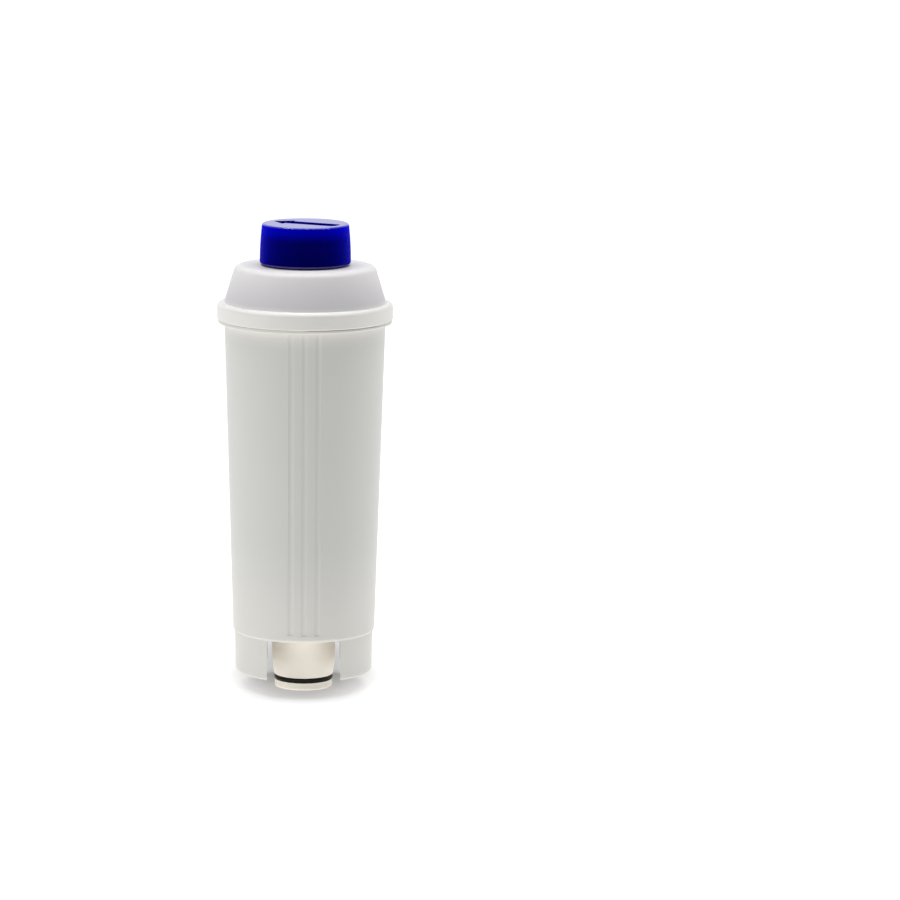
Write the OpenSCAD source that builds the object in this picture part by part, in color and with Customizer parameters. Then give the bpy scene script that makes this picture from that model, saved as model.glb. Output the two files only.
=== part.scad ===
// Drop-in water filter cartridge for a water tank.
// The spigot points down and plugs into the tank's outlet socket. Water enters through the slots in the
// housing floor, rises through the resin and the carbon into the space under the shoulder cover, and
// leaves down the riser tube and the spigot. The blue knob on top is the date dial.
// Z = 0 is the spigot's tip, Z is the cartridge's axis, and -Y is the front. All sizes are millimetres.

/* [Outlet spigot] */
// Diameter of the spigot's tip, below the seal ring
tip_d = 16; // [15:0.1:17]
// Height of the tip, below the seal ring's groove
tip_h = 2; // [1.5:0.1:3]
// Diameter at the foot of the taper, just above the seal ring
taper_d = 16.4; // [15.6:0.1:17]
// Height of the taper above the seal ring
taper_h = 4.6; // [3:0.1:6]
// Diameter of the straight guide above the taper
spigot_d = 17.6; // [17:0.1:19]
// Height of the straight guide, up to the housing floor
guide_h = 7.8; // [5:0.1:9]
// Diameter of the outlet bore
bore_d = 10; // [8:0.1:10.6]
// Thickness of the seal ring's rubber
ring_cord = 1.3; // [1.2:0.1:2]
// How far the seal ring stands proud of the tip
ring_proud = 0.2; // [0.1:0.05:0.4]
// Room in the groove above and below the seal ring, together
ring_play = 0.1; // [0.05:0.05:0.2]
// Room between the seal ring and the bottom of its groove
ring_seat = 0.05; // [0.02:0.01:0.1]
// Round between the taper and the straight guide
blend_round = 12; // [6:1:16]

/* [Connector inside the housing] */
// How far the shank in the floor stands out from the guide
shank_step = 0.2; // [0.1:0.05:0.4]
// How far the shank shows below the floor
shank_show = 0.3; // [0.2:0.1:1]
// Diameter of the flange that holds the connector on the housing floor
flange_in_d = 24; // [22:0.5:26]
// Thickness of that flange
flange_in_t = 1.6; // [1.2:0.1:2.4]
// Thickness of the gasket under that flange
gasket_t = 0.8; // [0.5:0.1:1.5]
// Depth of the socket that takes the riser tube
socket_depth = 6; // [4:0.5:10]
// Wall of that socket
socket_wall = 1.5; // [1:0.1:2.5]

/* [Housing] */
// Diameter of the body under the lip
body_top_d = 44.4; // [43:0.1:45]
// Diameter of the body at the floor
body_bottom_d = 39.3; // [37:0.1:40]
// Height of the body from the floor to the lip
body_h = 86.4; // [75:0.1:95]
// Wall of the body
body_wall = 1.6; // [1.2:0.1:2]
// Thickness of the floor
floor_t = 2; // [1.5:0.1:3]
// Number of inlet slots in the floor
slot_count = 16; // [12:1:20]
// Width of an inlet slot
slot_w = 1.4; // [1:0.1:1.8]
// Width of the flutes down the front and back of the body
flute_w = 1.6; // [1:0.1:2.5]
// Depth of the flutes
flute_depth = 0.22; // [0.1:0.02:0.4]
// Distance between the flutes
flute_pitch = 3.9; // [3:0.1:5]
// Round at the body's lower edge
body_round = 1; // [0.5:0.1:1.4]

/* [Skirt] */
// How far the skirt's foot stands above the spigot's tip
foot_z = 4.5; // [3:0.1:7]
// Wall of the skirt
skirt_wall = 1.6; // [1.3:0.1:2]
// How far the skirt stands in from the body
skirt_inset = 0.45; // [0.1:0.05:0.6]
// Round on the outside of the foot
foot_round = 1; // [0.4:0.1:1.2]
// Width of the openings at the front and back of the skirt
opening_w = 20.2; // [18.4:0.2:24]
// Round in the openings' upper corners
opening_round = 1; // [0.5:0.1:3]

/* [Rim and shoulder cover] */
// Diameter of the housing's lip under the cover
lip_d = 48; // [46:0.1:48.4]
// Thickness of the lip
lip_t = 1; // [0.8:0.1:2]
// Diameter of the cover's flange
flange_d = 48.5; // [47:0.1:50]
// Height of the cover's flange
flange_h = 4.6; // [4.2:0.1:7]
// Round at the flange's upper edge
flange_round = 1.2; // [0.4:0.1:1.2]
// Thickness of the flange over the seal
flange_roof = 0.7; // [0.6:0.1:1.4]
// Thickness of the seal between the rim and the cover
cover_seal_t = 1; // [0.6:0.1:1.4]
// Size of the snap bead round the rim
snap_bead = 0.35; // [0.2:0.05:0.5]
// Diameter at the foot of the shoulder
shoulder_base_d = 44.7; // [44.2:0.1:45.2]
// Diameter at the top of the shoulder, before its round
shoulder_top_d = 38.5; // [37:0.1:41]
// Height of the shoulder above the flange
shoulder_h = 10.3; // [8:0.1:13]
// Round at the top of the shoulder
shoulder_round = 2; // [1:0.1:3]
// Wall of the shoulder cover
cover_wall = 1.8; // [1.4:0.1:2.2]
// Number of fins under the cover that hold the plate down
fin_count = 4; // [3:1:6]
// Thickness of a fin
fin_t = 1.6; // [1:0.1:2.4]

/* [Date knob] */
// Diameter of the knob at its foot
knob_d = 25.1; // [24:0.1:27]
// Diameter of the knob at its top
knob_top_d = 23.9; // [22.4:0.1:25]
// How far the knob's side bulges between its foot and its top
knob_bulge = 0.12; // [0.04:0.02:0.3]
// Height of the knob
knob_h = 11.1; // [10:0.1:14]
// Gap between the knob's foot and the shoulder
knob_gap = 0.4; // [0.2:0.05:0.8]
// Wall of the knob
knob_wall = 1.7; // [1.2:0.1:2]
// Thickness of the knob's top
knob_roof = 2.4; // [2:0.1:3]
// Round at the knob's upper edge
knob_round = 0.5; // [0.4:0.1:1.5]
// Round at the knob's lower edge
knob_foot_round = 0.7; // [0.3:0.1:1.2]
// Depth of the pointer recess in the knob's top
pointer_depth = 0.8; // [0.5:0.1:1.4]
// Length of the pointer recess
pointer_l = 20; // [14:0.5:20]
// Width of the pointer's shaft
pointer_w = 5; // [1.5:0.1:5.2]
// Length of the pointer's head
head_l = 5; // [4:0.2:9]
// Width of the pointer's head
head_w = 8.4; // [5.4:0.2:10]
// Direction of the pointer at rest, from +X
pointer_angle = 152; // [0:1:359]

/* [Hub and clicks] */
// Diameter of the hub's head that the knob snaps over
hub_d = 14.4; // [13:0.1:15]
// How far the hub's neck stands in from its head
hub_undercut = 0.6; // [0.4:0.05:0.8]
// Height of the hub's neck
neck_h = 3.8; // [3:0.1:5]
// Wall of the hub
hub_wall = 1.6; // [1.2:0.1:2]
// Wall of the knob's sleeve
sleeve_wall = 1.3; // [1:0.1:1.6]
// Number of click notches round the hub, one for each month
click_count = 12; // [12:12:24]
// Depth of a click notch
click_depth = 0.4; // [0.2:0.05:0.5]
// Radius of a click notch and of the rib that drops into it
click_r = 0.6; // [0.5:0.05:0.8]
// How far the click ribs stand in from the sleeve
click_rib_h = 0.45; // [0.3:0.05:0.5]
// Number of click ribs in the sleeve
rib_count = 2; // [2:2:4]
// Room between the hub's head and the knob's roof
hub_head_room = 0.4; // [0.2:0.1:0.6]
// Number of webs between the knob's sleeve and its wall
stiffener_count = 6; // [4:1:8]
// Thickness of a web
stiffener_t = 1.2; // [0.8:0.1:1.6]

/* [Riser and media] */
// Outside diameter of the riser tube
riser_d = 12; // [11:0.1:13]
// Wall of the riser tube
riser_wall = 1.2; // [1:0.1:1.6]
// Thickness of the inlet screen on the floor
screen_t = 0.8; // [0.5:0.1:1.2]
// Thickness of the lower fleece
lower_fleece_t = 2; // [1.4:0.1:3]
// Height of the resin bed
resin_h = 48; // [38:0.5:54]
// Thickness of the fleece between the two beds
middle_fleece_t = 1.5; // [1:0.1:2.5]
// Thickness of the fleece over the carbon bed
upper_fleece_t = 2; // [1.4:0.1:3]
// Thickness of the hold-down plate
plate_t = 1.6; // [1.2:0.1:2.4]
// Height of the collar on the hold-down plate
collar_h = 2.4; // [1.5:0.1:4]
// Space between the hold-down plate and the lip
head_space = 5.6; // [3:0.1:8]
// Diameter of the holes in the hold-down plate
plate_hole_d = 2.2; // [1.6:0.1:2.6]
// Length of the strainer's sleeve on the riser tube
strainer_sleeve = 3.6; // [2.5:0.1:5]
// Height of the strainer's slots
strainer_slot_h = 3.4; // [2.5:0.1:4.5]
// Wall of the strainer
strainer_wall = 1.2; // [1:0.1:1.6]
// Number of slots in the strainer
strainer_slot_count = 10; // [8:1:12]
// Width of a strainer slot
strainer_slot_w = 1; // [0.8:0.1:1.2]
// Width of the gaps in the inlet screen
screen_gap = 0.6; // [0.4:0.05:0.7]

/* [Clearances] */
// Around the rim inside the cover
rim_fit = 0.1; // [0.05:0.05:0.2]
// Around the spigot in the floor
floor_fit = 0.1; // [0.05:0.05:0.2]
// Around the riser tube
tube_fit = 0.06; // [0.04:0.02:0.1]
// Around the beds, fleeces and plates
media_fit = 0.15; // [0.1:0.05:0.3]
// Around the hub's neck, where the knob turns
turn_fit = 0.08; // [0.04:0.02:0.1]
// Between the knob's sleeve and the shoulder
thrust_fit = 0.1; // [0.05:0.05:0.2]
// Between a click rib and the crests that it passes
click_fit = 0.06; // [0.04:0.02:0.1]

/* [Edges] */
// Round on plain edges
edge_round = 0.5; // [0.4:0.05:0.6]
// Round on fine edges
fine_round = 0.3; // [0.2:0.05:0.35]

/* [Hidden] */
$fn = 96;
arc_fn = 48;
arc_facet = 1.5;

// Radii
tip_r = tip_d / 2;
taper_r = taper_d / 2;
spigot_r = spigot_d / 2;
bore_r = bore_d / 2;
cord_r = ring_cord / 2;
ring_r = tip_r + ring_proud - cord_r;
groove_r = ring_r - cord_r - ring_seat;
groove_h = ring_cord + ring_play;
flange_in_r = flange_in_d / 2;
riser_r = riser_d / 2;
riser_bore_r = riser_r - riser_wall;
socket_r = riser_r + tube_fit;
socket_out_r = socket_r + socket_wall;
rim_r = body_top_d / 2;
rim_in_r = rim_r - body_wall;
lip_r = lip_d / 2;
flange_r = flange_d / 2;
shoulder_base_r = shoulder_base_d / 2;
shoulder_top_r = shoulder_top_d / 2;
cavity_top_r = shoulder_top_r - cover_wall;
shank_r = spigot_r + shank_step;
floor_hole_r = shank_r + floor_fit;

// Heights, from the spigot's tip to the knob's top
z_groove = tip_h;
z_taper = z_groove + groove_h;
z_guide = z_taper + taper_h;
z_floor = z_guide + guide_h;
z_floor_top = z_floor + floor_t;
z_flange_in = z_floor_top + gasket_t;
z_socket = z_flange_in + flange_in_t;
z_socket_top = z_socket + socket_depth;
z_lip = z_floor + body_h;
z_lip_top = z_lip + lip_t;
z_flange_top = z_lip_top + flange_h;
z_channel = z_flange_top - flange_roof;
z_rim = z_channel - cover_seal_t;
z_cover_top = z_flange_top + shoulder_h;
z_ceiling = z_cover_top - cover_wall;
z_knob = z_cover_top + knob_gap;
z_knob_top = z_knob + knob_h;
z_knob_roof = z_knob_top - knob_roof;

// The media stack, from the floor up
z_screen_top = z_floor_top + screen_t;
z_resin = max(z_screen_top + lower_fleece_t, z_socket + media_fit);
z_resin_top = z_resin + resin_h;
z_carbon = z_resin_top + middle_fleece_t;
z_plate_top = z_lip - head_space;
z_plate = z_plate_top - plate_t;
z_carbon_top = z_plate - upper_fleece_t;
z_collar_top = z_plate_top + collar_h;
z_strainer = z_collar_top + media_fit;
z_riser_top = z_strainer + strainer_sleeve;
z_strainer_top = z_riser_top + strainer_slot_h + strainer_wall;

// Hub, sleeve and clicks
hub_r = hub_d / 2;
neck_r = hub_r - hub_undercut;
z_head = z_cover_top + neck_h;
z_hub_top = z_knob_roof - hub_head_room;
lip_in_r = neck_r + turn_fit;
sleeve_r = hub_r + click_fit + click_rib_h;
sleeve_out_r = sleeve_r + sleeve_wall;

// Radius of the body's outside and inside at a height, with the mould's draft
function body_r(z) = (body_bottom_d + (body_top_d - body_bottom_d) * (z - z_floor) / body_h) / 2;
function body_in_r(z) = min(body_r(z), rim_r) - body_wall;
function skirt_r(z) = body_r(z) - skirt_inset;

// Corner i of an outline, and the unit vectors along its two edges
function corner(p, i) = p[(i + len(p)) % len(p)];
function unit(v) = v / norm(v);
function back_edge(p, i) = unit(corner(p, i - 1) - p[i]);
function next_edge(p, i) = unit(corner(p, i + 1) - p[i]);
function half_angle(p, i) = acos(back_edge(p, i) * next_edge(p, i)) / 2;
function is_outside_corner(p, i) = cross(-back_edge(p, i), next_edge(p, i)) > 0;
function round_centre(p, i, r) = p[i] + unit(back_edge(p, i) + next_edge(p, i)) * r / sin(half_angle(p, i));

// The two points where a corner's round of radius r meets its edges
function round_start(p, i, r) = p[i] + back_edge(p, i) * r / tan(half_angle(p, i));
function round_end(p, i, r) = p[i] + next_edge(p, i) * r / tan(half_angle(p, i));

// The slice of a corner between its round and the straight line across it
module corner_slice(p, i, r) {
    intersection() {
        translate(round_centre(p, i, r)) circle(r, $fn = max(arc_fn, ceil(2 * PI * r / arc_facet)));
        polygon([round_start(p, i, r), p[i], round_end(p, i, r)]);
    }
}

// An outline whose corners, taken counter-clockwise, have their own round: [x, y] or [x, y, round]
module rounded_outline(corners) {
    p = [for (c = corners) [c[0], c[1]]];
    r = [for (c = corners) len(c) > 2 ? c[2] : 0];
    all = [0 : len(p) - 1];
    difference() {
        union() {
            polygon([for (i = all) each r[i] == 0
                ? [p[i]]
                : [round_start(p, i, r[i]), round_end(p, i, r[i])]]);
            for (i = all)
                if (r[i] > 0 && is_outside_corner(p, i)) corner_slice(p, i, r[i]);
        }
        for (i = all)
            if (r[i] > 0 && !is_outside_corner(p, i)) corner_slice(p, i, r[i]);
    }
}

// A solid turned from such an outline
module turned(corners) {
    rotate_extrude() rounded_outline(corners);
}

// A flat ring whose outside follows the housing's tapered inside
module tapered_ring(z0, z1, inner_r) {
    turned([
        [inner_r, z0],
        [body_in_r(z0) - media_fit, z0],
        [body_in_r(z1) - media_fit, z1],
        [inner_r, z1]]);
}

// A slot with round ends that runs outwards from r0 to r1
module radial_slot(r0, r1, w) {
    translate([r0 + w / 2, 0]) circle(d = w);
    translate([r1 - w / 2, 0]) circle(d = w);
    translate([r0 + w / 2, -w / 2]) square([r1 - r0 - w, w]);
}

// A bar that leaves one shallow flute in the body's front, at x from its middle and above the lower round
module flute_bar(x) {
    start = 2 * body_round;
    radius = (flute_w * flute_w / 4 + flute_depth * flute_depth) / (2 * flute_depth);
    stand_off = radius - flute_depth;
    low = sqrt(pow(body_r(z_floor), 2) - x * x);
    high = sqrt(pow(body_r(z_lip), 2) - x * x);
    tilt = atan((high - low) / body_h);
    translate([x, -low - stand_off, z_floor])
        rotate([tilt, 0, 0])
            translate([0, 0, start])
                cylinder(r = radius, h = body_h - start - edge_round);
}

module housing() {
    color("whitesmoke") difference() {
        union() {
            difference() {
                cup();
                for (side = [0, 180], i = [-1, 0, 1])
                    rotate([0, 0, side]) flute_bar(i * flute_pitch);
            }
            skirt();
            snap_ring(snap_bead);
        }
        inlet_slots();
    }
}

// The tapered body with its floor, lip and rim
module cup() {
    turned([
        [floor_hole_r, z_floor],
        [body_r(z_floor), z_floor, body_round],
        [rim_r, z_lip],
        [lip_r, z_lip, fine_round],
        [lip_r, z_lip_top, fine_round],
        [rim_r, z_lip_top],
        [rim_r, z_rim],
        [rim_in_r, z_rim],
        [rim_in_r, z_lip],
        [body_in_r(z_floor_top), z_floor_top],
        [floor_hole_r, z_floor_top]]);
}

// The skirt under the body, open at the front and back
module skirt() {
    z_top = z_floor + body_round;
    difference() {
        turned([
            [skirt_r(foot_z) - skirt_wall, foot_z],
            [skirt_r(foot_z), foot_z, foot_round],
            [skirt_r(z_top), z_top],
            [skirt_r(z_top) - skirt_wall, z_top]]);
        skirt_openings(z_top);
    }
}

// The openings through the front and back of the skirt
module skirt_openings(z_top) {
    reach = body_top_d;
    translate([0, reach, 0])
        rotate([90, 0, 0])
            linear_extrude(2 * reach)
                union() {
                    rounded_outline([
                        [-opening_w / 2, foot_z - foot_round],
                        [opening_w / 2, foot_z - foot_round],
                        [opening_w / 2, z_floor, opening_round],
                        [-opening_w / 2, z_floor, opening_round]]);
                    translate([opening_round - opening_w / 2, z_floor - opening_round])
                        square([opening_w - 2 * opening_round, z_top - z_floor + 2 * opening_round]);
                }
}

// The slots in the floor that let the water in
module inlet_slots() {
    inner = flange_in_r + edge_round;
    outer = min(body_in_r(z_floor_top), skirt_r(z_floor) - skirt_wall) - edge_round;
    for (i = [0 : slot_count - 1])
        rotate([0, 0, (i + 0.5) * 360 / slot_count])
            translate([0, 0, z_floor - floor_t / 2])
                linear_extrude(2 * floor_t) radial_slot(inner, outer, slot_w);
}

// The round bead that the cover snaps over, half sunk in the rim
module snap_ring(size) {
    rotate_extrude()
        translate([rim_r, (z_lip_top + z_rim) / 2])
            difference() {
                circle(size, $fn = arc_fn);
                translate([-2 * size, -size]) square(2 * size);
            }
}

module outlet_connector() {
    color("antiquewhite") turned([
        [bore_r, 0, edge_round],
        [tip_r, 0, edge_round],
        [tip_r, z_groove],
        [groove_r, z_groove],
        [groove_r, z_taper],
        [taper_r, z_taper, fine_round],
        [spigot_r, z_guide, blend_round],
        [spigot_r, z_floor - shank_show],
        [shank_r, z_floor - shank_show],
        [shank_r, z_flange_in],
        [flange_in_r, z_flange_in],
        [flange_in_r, z_socket],
        [socket_out_r, z_socket],
        [socket_out_r, z_socket_top],
        [socket_r, z_socket_top],
        [socket_r, z_socket],
        [bore_r, z_socket]]);
}

module outlet_seal_ring() {
    color("black")
        rotate_extrude()
            translate([ring_r, z_groove + groove_h / 2])
                circle(cord_r, $fn = arc_fn);
}

module connector_gasket() {
    color("dimgray") turned([
        [floor_hole_r, z_floor_top],
        [flange_in_r - fine_round, z_floor_top],
        [flange_in_r - fine_round, z_flange_in],
        [floor_hole_r, z_flange_in]]);
}

module cover_seal() {
    color("dimgray") turned([
        [rim_in_r + rim_fit, z_rim],
        [rim_r - rim_fit, z_rim],
        [rim_r - rim_fit, z_channel],
        [rim_in_r + rim_fit, z_channel]]);
}

// Radius at the foot of the shoulder's cavity, over the seal
function cavity_base_r() = min(shoulder_base_r - cover_wall, rim_in_r);

module shoulder_cover() {
    color("whitesmoke") {
        difference() {
            turned([
                [0, z_lip_top],
                [flange_r, z_lip_top, fine_round],
                [flange_r, z_flange_top, flange_round],
                [shoulder_base_r, z_flange_top, fine_round],
                [shoulder_top_r, z_cover_top, shoulder_round],
                [0, z_cover_top]]);
            turned([
                [0, z_lip_top - lip_t],
                [rim_r + rim_fit, z_lip_top - lip_t],
                [rim_r + rim_fit, z_channel],
                [cavity_base_r(), z_channel],
                [cavity_top_r, z_ceiling, fine_round],
                [0, z_ceiling]]);
            snap_ring(snap_bead + rim_fit);
            translate([0, 0, z_ceiling - cover_wall])
                cylinder(r = neck_r - hub_wall, h = z_hub_top - hub_wall - z_ceiling + cover_wall);
        }
        hub();
        for (i = [0 : fin_count - 1])
            rotate([0, 0, (i + 0.5) * 360 / fin_count]) hold_down_fin();
    }
}

// The hub that carries the knob: a neck, and a head with click notches
module hub() {
    difference() {
        turned([
            [neck_r - hub_wall, z_cover_top - cover_wall],
            [neck_r, z_cover_top - cover_wall],
            [neck_r, z_head],
            [hub_r, z_head],
            [hub_r, z_hub_top, edge_round],
            [0, z_hub_top],
            [0, z_hub_top - hub_wall],
            [neck_r - hub_wall, z_hub_top - hub_wall]]);
        for (i = [0 : click_count - 1])
            rotate([0, 0, i * 360 / click_count])
                translate([hub_r + click_r - click_depth, 0, z_head - click_r])
                    cylinder(r = click_r, h = z_hub_top - z_head + 2 * click_r);
    }
}

// A fin under the cover's ceiling that reaches down to the hold-down plate
module hold_down_fin() {
    inner = riser_r + strainer_wall + tube_fit + 2 * fin_t;
    translate([inner, -fin_t / 2, z_plate_top + media_fit])
        cube([cavity_top_r - fine_round - inner, fin_t, z_ceiling + cover_wall / 2 - z_plate_top - media_fit]);
}

// The pointer's outline: a shaft with an arrow head, pointing along +X
module pointer_outline() {
    tip = pointer_l / 2;
    neck = tip - head_l;
    rounded_outline([
        [-tip, -pointer_w / 2, pointer_w / 3],
        [neck, -pointer_w / 2],
        [neck, -head_w / 2, fine_round],
        [tip, 0, edge_round],
        [neck, head_w / 2, fine_round],
        [neck, pointer_w / 2],
        [-tip, pointer_w / 2, pointer_w / 3]]);
}

module date_knob() {
    foot_in_r = knob_d / 2 - knob_wall;
    roof_in_r = knob_top_d / 2 - knob_wall;
    z_catch = z_head - thrust_fit;
    // The waist's round reaches a third of the height up and down, and leaves half of the waist as the bulge
    waist = 2 * knob_bulge;
    waist_r = (knob_d + knob_top_d) / 4 + waist;
    waist_round = knob_h / 3 * knob_h / (2 * waist);
    color("mediumblue") {
        difference() {
            union() {
                turned([
                    [0, z_knob_roof],
                    [roof_in_r, z_knob_roof],
                    [foot_in_r, z_knob],
                    [knob_d / 2, z_knob, knob_foot_round],
                    [waist_r, z_knob + knob_h / 2, waist_round],
                    [knob_top_d / 2, z_knob_top, knob_round],
                    [0, z_knob_top]]);
                turned([
                    [lip_in_r, z_cover_top + thrust_fit],
                    [sleeve_out_r, z_cover_top + thrust_fit],
                    [sleeve_out_r, z_knob_roof + fine_round],
                    [sleeve_r, z_knob_roof + fine_round],
                    [sleeve_r, z_catch],
                    [lip_in_r, z_catch]]);
                for (i = [0 : stiffener_count - 1])
                    rotate([0, 0, i * 360 / stiffener_count]) knob_stiffener(roof_in_r);
            }
            translate([0, 0, z_knob_top - pointer_depth])
                rotate([0, 0, pointer_angle])
                    linear_extrude(2 * pointer_depth) pointer_outline();
        }
        for (i = [0 : rib_count - 1])
            rotate([0, 0, i * 360 / rib_count]) click_rib(z_catch);
    }
}

// A web between the knob's sleeve and its wall
module knob_stiffener(outer_r) {
    inner = sleeve_out_r - sleeve_wall / 2;
    low = z_knob + knob_h / 3;
    translate([inner, -stiffener_t / 2, low])
        cube([outer_r + knob_wall / 2 - inner, stiffener_t, z_knob_roof + fine_round - low]);
}

// A rib inside the knob's sleeve that clicks past the hub's notches
module click_rib(z_catch) {
    intersection() {
        translate([hub_r + click_fit + click_r, 0, z_catch - fine_round])
            cylinder(r = click_r, h = z_knob_roof - z_catch + 2 * fine_round);
        translate([0, 0, z_catch - fine_round])
            cylinder(r = sleeve_r + sleeve_wall / 2, h = z_knob_roof - z_catch + 2 * fine_round);
    }
}

module riser_tube() {
    color("white") turned([
        [riser_bore_r, z_socket],
        [riser_r, z_socket],
        [riser_r, z_riser_top],
        [riser_bore_r, z_riser_top]]);
}

// A slotted cap on top of the riser tube
module riser_strainer() {
    outer_r = riser_r + tube_fit + strainer_wall;
    color("white") difference() {
        turned([
            [riser_r + tube_fit, z_strainer],
            [outer_r, z_strainer],
            [outer_r, z_strainer_top, edge_round],
            [0, z_strainer_top],
            [0, z_strainer_top - strainer_wall],
            [riser_bore_r, z_strainer_top - strainer_wall],
            [riser_bore_r, z_riser_top],
            [riser_r + tube_fit, z_riser_top]]);
        for (i = [0 : strainer_slot_count - 1])
            rotate([0, 0, i * 360 / strainer_slot_count])
                translate([riser_bore_r / 2, -strainer_slot_w / 2, z_riser_top + strainer_slot_w / 2])
                    cube([outer_r, strainer_slot_w, strainer_slot_h - strainer_slot_w]);
    }
}

module inlet_screen() {
    inner = flange_in_r + media_fit;
    gaps = 3 * slot_count;
    color("white") difference() {
        tapered_ring(z_floor_top, z_screen_top, inner);
        for (i = [0 : gaps - 1])
            rotate([0, 0, i * 360 / gaps])
                translate([0, 0, z_floor_top - screen_t])
                    linear_extrude(3 * screen_t)
                        radial_slot(inner + edge_round, body_in_r(z_floor_top) - 2 * edge_round, screen_gap);
    }
}

module lower_fleece() {
    color("gainsboro") tapered_ring(z_screen_top, z_resin, flange_in_r + media_fit);
}

module resin_bed() {
    color("goldenrod") turned([
        [socket_out_r + media_fit, z_resin],
        [body_in_r(z_resin) - media_fit, z_resin],
        [body_in_r(z_resin_top) - media_fit, z_resin_top],
        [riser_r + media_fit, z_resin_top],
        [riser_r + media_fit, z_socket_top + media_fit],
        [socket_out_r + media_fit, z_socket_top + media_fit]]);
}

module middle_fleece() {
    color("gainsboro") tapered_ring(z_resin_top, z_carbon, riser_r + media_fit);
}

module carbon_bed() {
    color("black") tapered_ring(z_carbon, z_carbon_top, riser_r + media_fit);
}

module upper_fleece() {
    color("gainsboro") tapered_ring(z_carbon_top, z_plate, riser_r + media_fit);
}

// The plate that holds the media down, with rings of holes and a collar round the riser tube
module hold_down_plate() {
    inner = riser_r + tube_fit;
    collar_r = inner + plate_t;
    pitch = 1.5 * plate_hole_d;
    rings = floor((body_in_r(z_plate) - media_fit - collar_r - plate_hole_d / 2) / pitch);
    color("white") difference() {
        union() {
            tapered_ring(z_plate, z_plate_top, inner);
            turned([
                [inner, z_plate],
                [collar_r, z_plate],
                [collar_r, z_collar_top, fine_round],
                [inner, z_collar_top]]);
        }
        for (ring = [1 : rings]) {
            radius = collar_r + (ring - 0.5) * pitch;
            holes = floor(2 * PI * radius / pitch);
            for (i = [0 : holes - 1])
                rotate([0, 0, i * 360 / holes])
                    translate([radius, 0, z_plate - plate_t])
                        cylinder(d = plate_hole_d, h = 3 * plate_t);
        }
    }
}

housing();
shoulder_cover();
cover_seal();
date_knob();
outlet_connector();
outlet_seal_ring();
connector_gasket();
riser_tube();
riser_strainer();
inlet_screen();
lower_fleece();
resin_bed();
middle_fleece();
carbon_bed();
upper_fleece();
hold_down_plate();
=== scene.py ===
"""Looks of the drop-in water filter cartridge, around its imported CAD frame. Metres, Z up, front at -Y."""

import math

import bmesh
import bpy
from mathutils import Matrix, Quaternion, Vector


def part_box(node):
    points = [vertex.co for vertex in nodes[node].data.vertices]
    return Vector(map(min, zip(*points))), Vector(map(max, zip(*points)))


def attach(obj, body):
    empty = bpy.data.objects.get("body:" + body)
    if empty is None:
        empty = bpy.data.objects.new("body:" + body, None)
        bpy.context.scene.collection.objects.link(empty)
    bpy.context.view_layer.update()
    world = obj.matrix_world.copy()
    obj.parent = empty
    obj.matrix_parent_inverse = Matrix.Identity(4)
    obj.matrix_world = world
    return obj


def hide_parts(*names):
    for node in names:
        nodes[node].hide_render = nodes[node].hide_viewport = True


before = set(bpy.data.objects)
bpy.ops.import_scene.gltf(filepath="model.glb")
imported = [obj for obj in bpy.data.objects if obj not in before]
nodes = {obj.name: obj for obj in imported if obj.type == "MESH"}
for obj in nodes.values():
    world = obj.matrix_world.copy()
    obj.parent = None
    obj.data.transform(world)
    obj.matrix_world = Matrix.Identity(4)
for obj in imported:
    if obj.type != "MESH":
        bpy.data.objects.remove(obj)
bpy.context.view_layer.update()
MM = 0.001

# Sizes of the filter media, and the radius that the resin leaves free around the connector's socket
BEAD = 1.2 * MM
GRANULE = 2.2 * MM
FELT_GRID = 0.55 * MM
MEDIA_FIT = 0.15 * MM
SOCKET_ROOM = 8 * MM

# Reliefs of the filter media: a texture, the size of its features, and their depth
FELT_RELIEF = ("CLOUDS", 0.8 * MM, 0.15 * MM)
BEAD_RELIEF = ("VORONOI", BEAD, 0.5 * MM)
GRANULE_RELIEF = ("VORONOI", GRANULE, 0.8 * MM)

# How far the knob's polish reaches down from its top, and up from its foot
KNOB_POLISH = 0.3 * MM
KNOB_FOOT = 0.5 * MM

# How far down from its top the knob's painted light reaches, and the heights between which the painted light
# along its foot fades out
KNOB_PAINTED_LIGHT = 4.5 * MM
KNOB_PAINTED_FOOT_LIGHT = (0.55 * MM, 0.85 * MM)

# Tints of a wall by height: a colour, the heights between which it fades in, and those between
# which it fades out
# A darker tint over the middle of the housing's height, fading out towards its foot and its top
HOUSING_MIDDLE_TINT = ((0.577, 0.580, 0.556), (18 * MM, 45 * MM), (97.2 * MM, 102.2 * MM))
# Painted shade on the shoulder, darkest just above its foot and fading out upwards, with a faint lilac cast
SHOULDER_PAINTED_SHADE = ((0.585, 0.573, 0.594), (107.6 * MM, 109.2 * MM), (109.5 * MM, 121 * MM))
# A warmer, slightly darker tint on the flange
WARM_FLANGE = ((0.738, 0.719, 0.685), (100 * MM, 101 * MM), (106.6 * MM, 107.6 * MM))

# Strengths of the light that the room and the table give to the cartridge
AMBIENT = 0.04
TABLE = 0.72


class Value:
    """One output of a shader node. Arithmetic on it adds Math nodes."""

    def __init__(self, shader, socket):
        self.shader = shader
        self.socket = socket

    def sibling(self, output):
        """Another output of the same node."""
        return Value(self.shader, self.socket.node.outputs[output])

    def __add__(self, other):
        return self.shader.math("ADD", self, other)

    def __radd__(self, other):
        return self.shader.math("ADD", other, self)

    def __sub__(self, other):
        return self.shader.math("SUBTRACT", self, other)

    def __rsub__(self, other):
        return self.shader.math("SUBTRACT", other, self)

    def __mul__(self, other):
        return self.shader.math("MULTIPLY", self, other)

    def __rmul__(self, other):
        return self.shader.math("MULTIPLY", other, self)


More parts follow.
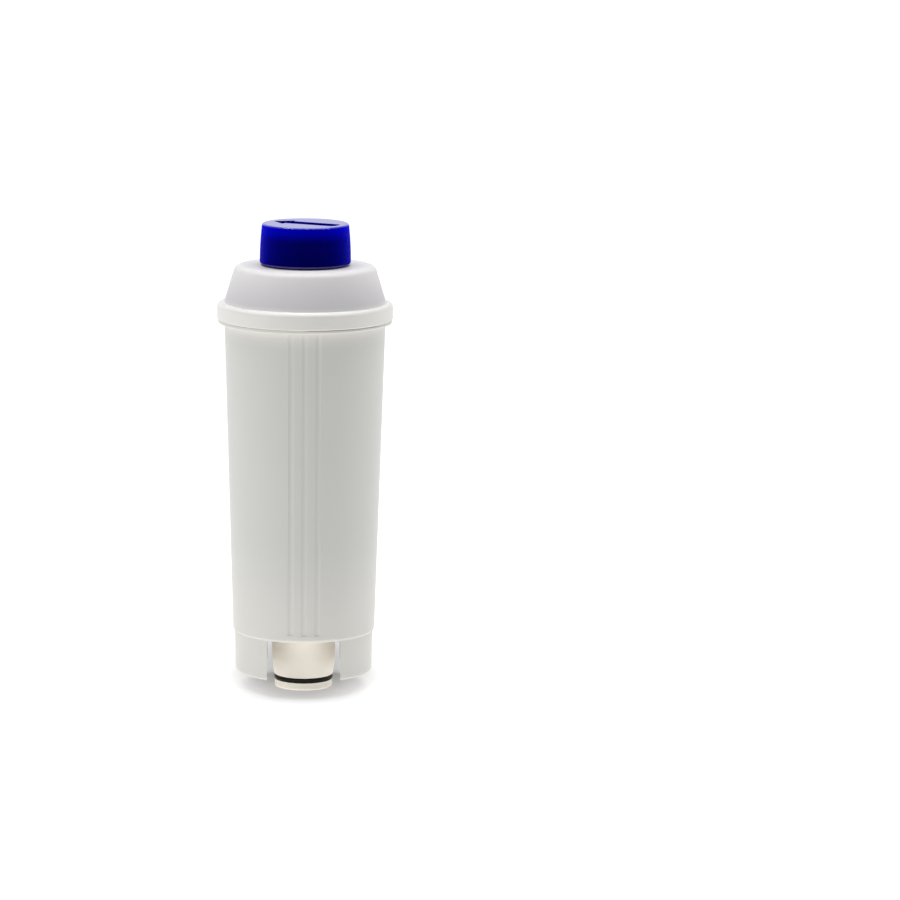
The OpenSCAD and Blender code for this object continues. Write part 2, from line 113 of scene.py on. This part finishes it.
class Shader:
    """A node tree that is filled node by node."""

    def __init__(self, tree):
        self.tree = tree
        tree.nodes.clear()

    def add(self, kind, settings=None, inputs=None, output=0):
        """A node of a kind, with its settings, and the values or links of its sockets."""
        node = self.tree.nodes.new(kind)
        for name, value in (settings or {}).items():
            setattr(node, name, value)
        for name, value in (inputs or {}).items():
            if isinstance(value, Value):
                self.tree.links.new(value.socket, node.inputs[name])
            else:
                node.inputs[name].default_value = value
        return Value(self, node.outputs[output]) if node.outputs else None

    def math(self, operation, *terms):
        return self.add("ShaderNodeMath", {"operation": operation}, dict(enumerate(terms)))

    def background_rays(self):
        """1 for the rays that show the background: straight, mirrored, or through something clear."""
        straight = self.add("ShaderNodeLightPath", output="Is Camera Ray")
        mirrored = self.math("MAXIMUM", straight, straight.sibling("Is Glossy Ray"))
        return self.math("MAXIMUM", mirrored, straight.sibling("Is Transmission Ray"))


class Finish(Shader):
    """A procedural material, laid out on the Object coordinates of the piece that wears it."""

    def __init__(self, name):
        self.material = bpy.data.materials.new(name)
        self.material.use_nodes = True
        super().__init__(self.material.node_tree)
        self.place = self.add("ShaderNodeTexCoord", output="Object")

    def stretched(self, stretch, shift=(0.0, 0.0, 0.0)):
        """The place on the piece, stretched and then shifted."""
        return self.add("ShaderNodeMapping", {}, {"Vector": self.place, "Scale": stretch, "Location": shift})

    def height(self):
        return self.add("ShaderNodeSeparateXYZ", {}, {0: self.place}, "Z")

    def noise(self, size, detail=2.0, stretch=(1.0, 1.0, 1.0)):
        """Noise from 0 to 1 whose features are about size across."""
        inputs = {"Vector": self.stretched(stretch), "Scale": 1.0 / size, "Detail": detail}
        return self.add("ShaderNodeTexNoise", {}, inputs)

    def cells(self, size):
        """The colours of cells about size across. The sibling Distance is 0 in the middle of a cell."""
        return self.add("ShaderNodeTexVoronoi", {}, {"Vector": self.place, "Scale": 1.0 / size}, "Color")

    def blend(self, factor, first, second):
        """A colour between two colours."""
        return self.add("ShaderNodeMix", {"data_type": "RGBA"}, {0: factor, 6: first, 7: second}, output=2)

    def rise(self, value, start, end, low=0.0, high=1.0):
        """A soft step from low to high, where a value goes from start to end."""
        span = {"Value": value, "From Min": start, "From Max": end, "To Min": low, "To Max": high}
        return self.add("ShaderNodeMapRange", {"interpolation_type": "SMOOTHSTEP"}, span)

    def bump(self, height, depth):
        return self.add("ShaderNodeBump", {}, {"Height": height, "Distance": depth})

    def shade(self, **inputs):
        """A Principled shader, with the spaces in its inputs' names written as underscores."""
        named = {name.replace("_", " "): value for name, value in inputs.items()}
        return self.add("ShaderNodeBsdfPrincipled", {}, named)

    def end(self, surface):
        """The finished material, with a shader as its surface."""
        self.add("ShaderNodeOutputMaterial", {}, {"Surface": surface})
        return self.material


def rgb(red, green, blue):
    return (red, green, blue, 1.0)


def moulded_plastic(name, light, dark, roughness, *tints):
    """Satin moulded plastic: faint flow clouds, drag lines along the draft, and a fine eroded grain."""
    finish = Finish(name)
    clouds = finish.noise(18 * MM, 3.0, (1.0, 1.0, 0.35))
    drag = finish.noise(0.9 * MM, 2.0, (1.0, 1.0, 0.03))
    grain = finish.noise(0.35 * MM)
    colour = finish.blend(0.8 * clouds + 0.2 * drag, rgb(*dark), rgb(*light))
    # Each tint fades in and out with height; the shoulder's tint is painted shade
    for tint, fade_in, fade_out in tints:
        height = finish.height()
        strength = finish.rise(height, *fade_in) * (1.0 - finish.rise(height, *fade_out))
        colour = finish.blend(strength, colour, rgb(*tint))
    gloss = roughness - 0.05 + 0.06 * clouds + 0.04 * drag
    relief = finish.bump(0.7 * grain + 0.3 * drag, 0.007 * MM)
    return finish.end(finish.shade(Base_Color=colour, Roughness=gloss, Normal=relief))


def knob_plastic():
    """Deep blue plastic, with painted light that makes it lighter towards its top and pale along the edge of
    its foot.

    The grip is satin with a blue sheen. The top and the foot are polished.
    """
    finish = Finish("blue_knob_plastic")
    clouds = finish.noise(7 * MM)
    foot, top = (corner.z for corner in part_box("date_knob"))
    height = finish.height()
    deep = finish.blend(clouds, rgb(0.0003, 0.0004, 0.066), rgb(0.0004, 0.0006, 0.081))
    # Painted light: the knob's blue, lighter towards its top
    painted_top_light = finish.blend(clouds, rgb(0.0005, 0.0006, 0.40), rgb(0.0006, 0.0008, 0.455))
    # Painted light: a pale band along the edge of the foot, as light from the white shoulder below
    painted_foot_light = rgb(0.16, 0.125, 0.40)
    foot_light_start, foot_light_end = KNOB_PAINTED_FOOT_LIGHT
    edge = finish.rise(height, foot + foot_light_start, foot + foot_light_end, 1.0, 0.0)
    # The painted light goes onto the top, and then along the foot
    colour = finish.blend(finish.rise(height, top - KNOB_PAINTED_LIGHT, top - KNOB_POLISH), deep, painted_top_light)
    colour = finish.blend(edge, colour, painted_foot_light)
    grain = finish.bump(finish.noise(0.3 * MM), 0.006 * MM)
    peel = finish.bump(finish.noise(1.6 * MM), 0.002 * MM)
    grip = finish.shade(
        Base_Color=colour, Roughness=0.4 + 0.1 * clouds, Normal=grain,
        Specular_IOR_Level=0.01, Specular_Tint=rgb(0.1, 0.1, 1.0),
        Sheen_Weight=0.95, Sheen_Roughness=0.54, Sheen_Tint=rgb(0.0, 0.0, 1.0))
    polish = finish.shade(Base_Color=colour, Roughness=0.06 + 0.04 * clouds, Normal=peel)
    is_top = finish.math("GREATER_THAN", height, top - KNOB_POLISH)
    is_foot = finish.math("LESS_THAN", height, foot + KNOB_FOOT)
    is_polished = finish.math("MAXIMUM", is_top, is_foot)
    return finish.end(finish.add("ShaderNodeMixShader", {}, {0: is_polished, 1: grip, 2: polish}))


def rubber(name, light, dark, roughness):
    """Moulded rubber with a faint bloom."""
    finish = Finish(name)
    bloom = finish.noise(1.2 * MM, 3.0)
    colour = finish.blend(bloom, rgb(*dark), rgb(*light))
    gloss = roughness - 0.1 + 0.2 * bloom
    relief = finish.bump(finish.noise(0.2 * MM), 0.004 * MM)
    return finish.end(
        finish.shade(Base_Color=colour, Roughness=gloss, Normal=relief, Specular_IOR_Level=0.15))


def felt():
    """White needled felt: crossed fibres and a soft cloudiness."""
    finish = Finish("white_felt")
    along = finish.noise(0.4 * MM, 3.0, (0.15, 1.0, 1.0))
    across = finish.noise(0.4 * MM, 3.0, (1.0, 0.15, 1.0))
    clouds = finish.noise(4 * MM)
    fibres = finish.math("MAXIMUM", along, across)
    colour = finish.blend(0.7 * fibres + 0.3 * clouds, rgb(0.52, 0.52, 0.50), rgb(0.86, 0.86, 0.84))
    relief = finish.bump(fibres, 0.1 * MM)
    return finish.end(finish.shade(Base_Color=colour, Roughness=0.85 + 0.1 * clouds, Normal=relief))


def resin():
    """Amber resin beads, each with its own depth of colour."""
    finish = Finish("amber_resin")
    beads = finish.cells(BEAD)
    tone = finish.math("FRACT", beads)
    distance = beads.sibling("Distance")
    colour = finish.blend(tone, rgb(0.30, 0.12, 0.015), rgb(0.62, 0.33, 0.07))
    relief = finish.bump(1.0 - distance, 0.15 * MM)
    return finish.end(finish.shade(Base_Color=colour, Roughness=0.2 + 0.15 * distance, Normal=relief))


def carbon():
    """Black carbon granules with grey dust."""
    finish = Finish("black_carbon")
    dust = finish.noise(0.5 * MM, 4.0)
    tone = finish.math("FRACT", finish.cells(GRANULE))
    colour = finish.blend(0.6 * dust + 0.4 * tone, rgb(0.006, 0.006, 0.006), rgb(0.035, 0.035, 0.034))
    relief = finish.bump(dust, 0.15 * MM)
    return finish.end(finish.shade(Base_Color=colour, Roughness=0.65 + 0.25 * dust, Normal=relief))


def wear(material, *names):
    """Gives CAD nodes a material."""
    for name in names:
        mesh = nodes[name].data
        mesh.materials.clear()
        mesh.materials.append(material)


def pick(piece, kind, test):
    """In edit mode, selects the vertices or edges whose middle passes a test."""
    bpy.ops.mesh.select_mode(type=kind)
    bpy.ops.mesh.select_all(action="DESELECT")
    shape = bmesh.from_edit_mesh(piece.data)
    if kind == "VERT":
        for vertex in shape.verts:
            vertex.select_set(test(vertex.co))
    else:
        for edge in shape.edges:
            edge.select_set(test((edge.verts[0].co + edge.verts[1].co) / 2))
    bmesh.update_edit_mesh(piece.data)


def turned_ring(name, low, high, inner, outer, grid):
    """A closed ring, spun from its cross-section. inner and outer are (lower, upper) radii."""
    bpy.ops.object.select_all(action="DESELECT")
    middle = Vector(((inner[0] + outer[0]) / 2, 0.0, (low + high) / 2))
    bpy.ops.mesh.primitive_plane_add(size=1.0, location=middle, rotation=(math.pi / 2, 0.0, 0.0))
    piece = bpy.context.object
    piece.name = piece.data.name = name
    piece.scale = (outer[0] - inner[0], high - low, 1.0)
    bpy.ops.object.transform_apply(location=True, rotation=True, scale=True)

    # The square becomes an outline, and its upper corners move to their own radii
    bpy.ops.object.mode_set(mode="EDIT")
    bpy.ops.mesh.delete(type="ONLY_FACE")
    pick(piece, "VERT", lambda place: place.x > middle.x and place.z > middle.z)
    bpy.ops.transform.translate(value=(outer[1] - outer[0], 0.0, 0.0))
    pick(piece, "VERT", lambda place: place.x < middle.x and place.z > middle.z)
    bpy.ops.transform.translate(value=(inner[1] - inner[0], 0.0, 0.0))

    # The outer side, the inner side, and the top and bottom are cut up. After the first, edges are short,
    # so the margin that tells them apart gets smaller
    margin = (high - low) / 4
    rows = max(1, round((high - low) / grid))
    columns = round((outer[1] - inner[1]) / grid)
    for side, cuts in (
            (lambda place: abs(place.z - middle.z) < margin and place.x > middle.x, rows),
            (lambda place: abs(place.z - middle.z) < margin and place.x < middle.x, max(1, rows // 4)),
            (lambda place: abs(place.z - low) < margin or abs(place.z - high) < margin, columns)):
        pick(piece, "EDGE", side)
        bpy.ops.mesh.subdivide(number_cuts=cuts)
        margin = min(margin, grid / 4)

    bpy.ops.mesh.select_all(action="SELECT")
    steps = round(2 * math.pi * outer[1] / grid)
    bpy.ops.mesh.spin(steps=steps, angle=2 * math.pi, center=(0.0, 0.0, 0.0), axis=(0.0, 0.0, 1.0))
    bpy.ops.mesh.select_all(action="SELECT")
    bpy.ops.mesh.remove_doubles(threshold=0.001 * MM)
    bpy.ops.mesh.normals_make_consistent(inside=False)
    bpy.ops.object.mode_set(mode="OBJECT")
    bpy.ops.object.shade_smooth()
    return piece


def press(piece, kind, size, depth):
    """Presses a procedural relief into a piece, inwards only."""
    relief = bpy.data.textures.new(piece.name + "_relief", kind)
    relief.noise_scale = size
    modifier = piece.modifiers.new("relief", "DISPLACE")
    modifier.texture = relief
    modifier.texture_coords = "LOCAL"
    modifier.mid_level = 0.0
    modifier.strength = -depth
    bpy.ops.object.modifier_apply(modifier=modifier.name)


def dress(piece, node, material):
    """Puts a modelled piece in the place of a CAD node of the cartridge."""
    piece.data.materials.append(material)
    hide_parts(node)
    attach(piece, "cartridge")


def add_media():
    """The felt rings and the two beds, from the inlet screen up. Each starts as wide as the one below."""
    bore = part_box("riser_tube")[1].x + MEDIA_FIT
    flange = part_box("outlet_connector")[1].x + MEDIA_FIT
    white_felt = felt()
    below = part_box("inlet_screen")[1].x
    for node, slot, material, inner, grid, relief in (
            ("lower_fleece", "felt", white_felt, (flange, flange), FELT_GRID, FELT_RELIEF),
            ("resin_bed", "resin", resin(), (SOCKET_ROOM, bore), BEAD / 3, BEAD_RELIEF),
            ("middle_fleece", "felt", white_felt, (bore, bore), FELT_GRID, FELT_RELIEF),
            ("carbon_bed", "carbon", carbon(), (bore, bore), GRANULE / 5, GRANULE_RELIEF),
            ("upper_fleece", "felt", white_felt, (bore, bore), FELT_GRID, FELT_RELIEF)):
        lowest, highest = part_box(node)
        piece = turned_ring(node + "_fill", lowest.z, highest.z, inner, (below, highest.x), grid)
        press(piece, *relief)
        dress(piece, node, material)
        below = highest.x


def add_camera():
    """A long lens in front of the cartridge and a little above it, leaning a touch to one side."""
    stand = Vector((0.0, -1.28, 0.285))
    aim = Vector((0.0403, 0.0, 0.0666))
    lean = Quaternion((0.0, 0.0, 1.0), math.radians(0.557))
    camera = bpy.data.cameras.new("camera")
    camera.sensor_width = 36.0
    camera.lens = 187.5
    camera.clip_end = 50.0
    holder = bpy.data.objects.new("camera", camera)
    holder.location = stand
    holder.rotation_euler = ((aim - stand).to_track_quat("-Z", "Y") @ lean).to_euler()
    bpy.context.collection.objects.link(holder)
    bpy.context.scene.camera = holder


def add_softbox(name, place, width, height, watts, mirrored=False):
    """A soft lamp towards the cartridge, which its gloss mirrors or doesn't."""
    middle = Vector((0.0, 0.0, 0.07))
    lamp = bpy.data.lights.new(name, "AREA")
    lamp.shape = "RECTANGLE"
    lamp.size = width
    lamp.size_y = height
    lamp.energy = watts
    holder = bpy.data.objects.new(name, lamp)
    holder.location = place
    holder.rotation_euler = (middle - Vector(place)).to_track_quat("-Z", "Y").to_euler()
    holder.visible_glossy = mirrored
    bpy.context.collection.objects.link(holder)


def add_floor():
    """A white light table, shown pure white away from the cartridge, with a shadow near it that is partly
    painted.

    Its emission is dimmed around the foot into a painted shadow, which fades out from near to far in an oval
    that reaches behind the cartridge. Its paper is darker where it is seen, because the emission adds to it
    there.
    """
    # Painted shadow: the emission is dimmed close to the foot and rises back to full across a shifted oval
    near, far = 0.006, 0.028
    shadow_glow, far_glow = 0.1, 1.0
    oval, oval_shift = (0.88, 0.33, 1.0), (0.0, -0.0099, 0.0)
    paper_tone, seen_drop = 0.8, 0.4
    bpy.ops.object.select_all(action="DESELECT")
    bpy.ops.mesh.primitive_plane_add(size=14.0)
    floor = bpy.context.object
    floor.name = "floor"
    finish = Finish("white_floor")
    shadow_spot = finish.stretched(oval, oval_shift)
    distance = finish.add("ShaderNodeVectorMath", {"operation": "LENGTH"}, {0: shadow_spot}, "Value")
    # The emission, with the painted shadow around the foot
    shadowed_glow = finish.rise(distance, near, far, shadow_glow, far_glow)
    seen = finish.background_rays()
    paper = finish.add("ShaderNodeBsdfDiffuse", {}, {"Color": paper_tone - seen_drop * seen})
    light = finish.add("ShaderNodeEmission", {}, {"Strength": shadowed_glow * seen + TABLE * (1.0 - seen)})
    floor.data.materials.append(finish.end(finish.add("ShaderNodeAddShader", {}, {0: paper, 1: light})))


def add_world():
    """A white room, dimmed where it only lights the cartridge."""
    world = bpy.data.worlds.new("studio")
    bpy.context.scene.world = world
    world.use_nodes = True
    room = Shader(world.node_tree)
    strength = AMBIENT + (1.0 - AMBIENT) * room.background_rays()
    light = room.add("ShaderNodeBackground", {}, {"Color": rgb(1.0, 1.0, 1.0), "Strength": strength})
    room.add("ShaderNodeOutputWorld", {}, {"Surface": light})


housing_plastic = moulded_plastic(
    "white_housing_plastic", (0.668, 0.650, 0.614), (0.639, 0.621, 0.586), 0.42, HOUSING_MIDDLE_TINT)
cover_plastic = moulded_plastic(
    "white_cover_plastic", (0.785, 0.773, 0.762), (0.755, 0.743, 0.732), 0.5, WARM_FLANGE, SHOULDER_PAINTED_SHADE)
spigot_plastic = moulded_plastic("cream_spigot_plastic", (0.96, 0.91, 0.82), (0.94, 0.88, 0.78), 0.45)
inner_plastic = moulded_plastic("natural_plastic", (0.76, 0.76, 0.72), (0.72, 0.72, 0.68), 0.5)
ring_rubber = rubber("black_ring_rubber", (0.014, 0.013, 0.011), (0.006, 0.006, 0.005), 0.4)
seal_rubber = rubber("grey_seal_rubber", (0.31, 0.31, 0.31), (0.25, 0.25, 0.25), 0.6)

wear(housing_plastic, "housing")
wear(cover_plastic, "shoulder_cover")
wear(spigot_plastic, "outlet_connector")
wear(inner_plastic, "riser_tube", "riser_strainer", "inlet_screen", "hold_down_plate")
wear(ring_rubber, "outlet_seal_ring")
wear(seal_rubber, "cover_seal", "connector_gasket")
wear(knob_plastic(), "date_knob")
add_media()

add_camera()
add_floor()
add_world()
add_softbox("left_softbox", (-0.8, -0.46, 0.12), 0.3, 0.4, watts=2.0)
add_softbox("right_softbox", (0.75, 0.2, 0.25), 0.5, 0.5, watts=0.8)
add_softbox("top_softbox", (0.0, 0.05, 1.0), 1.4, 0.3, watts=12.0, mirrored=True)

bpy.context.scene.view_settings.view_transform = "Standard"
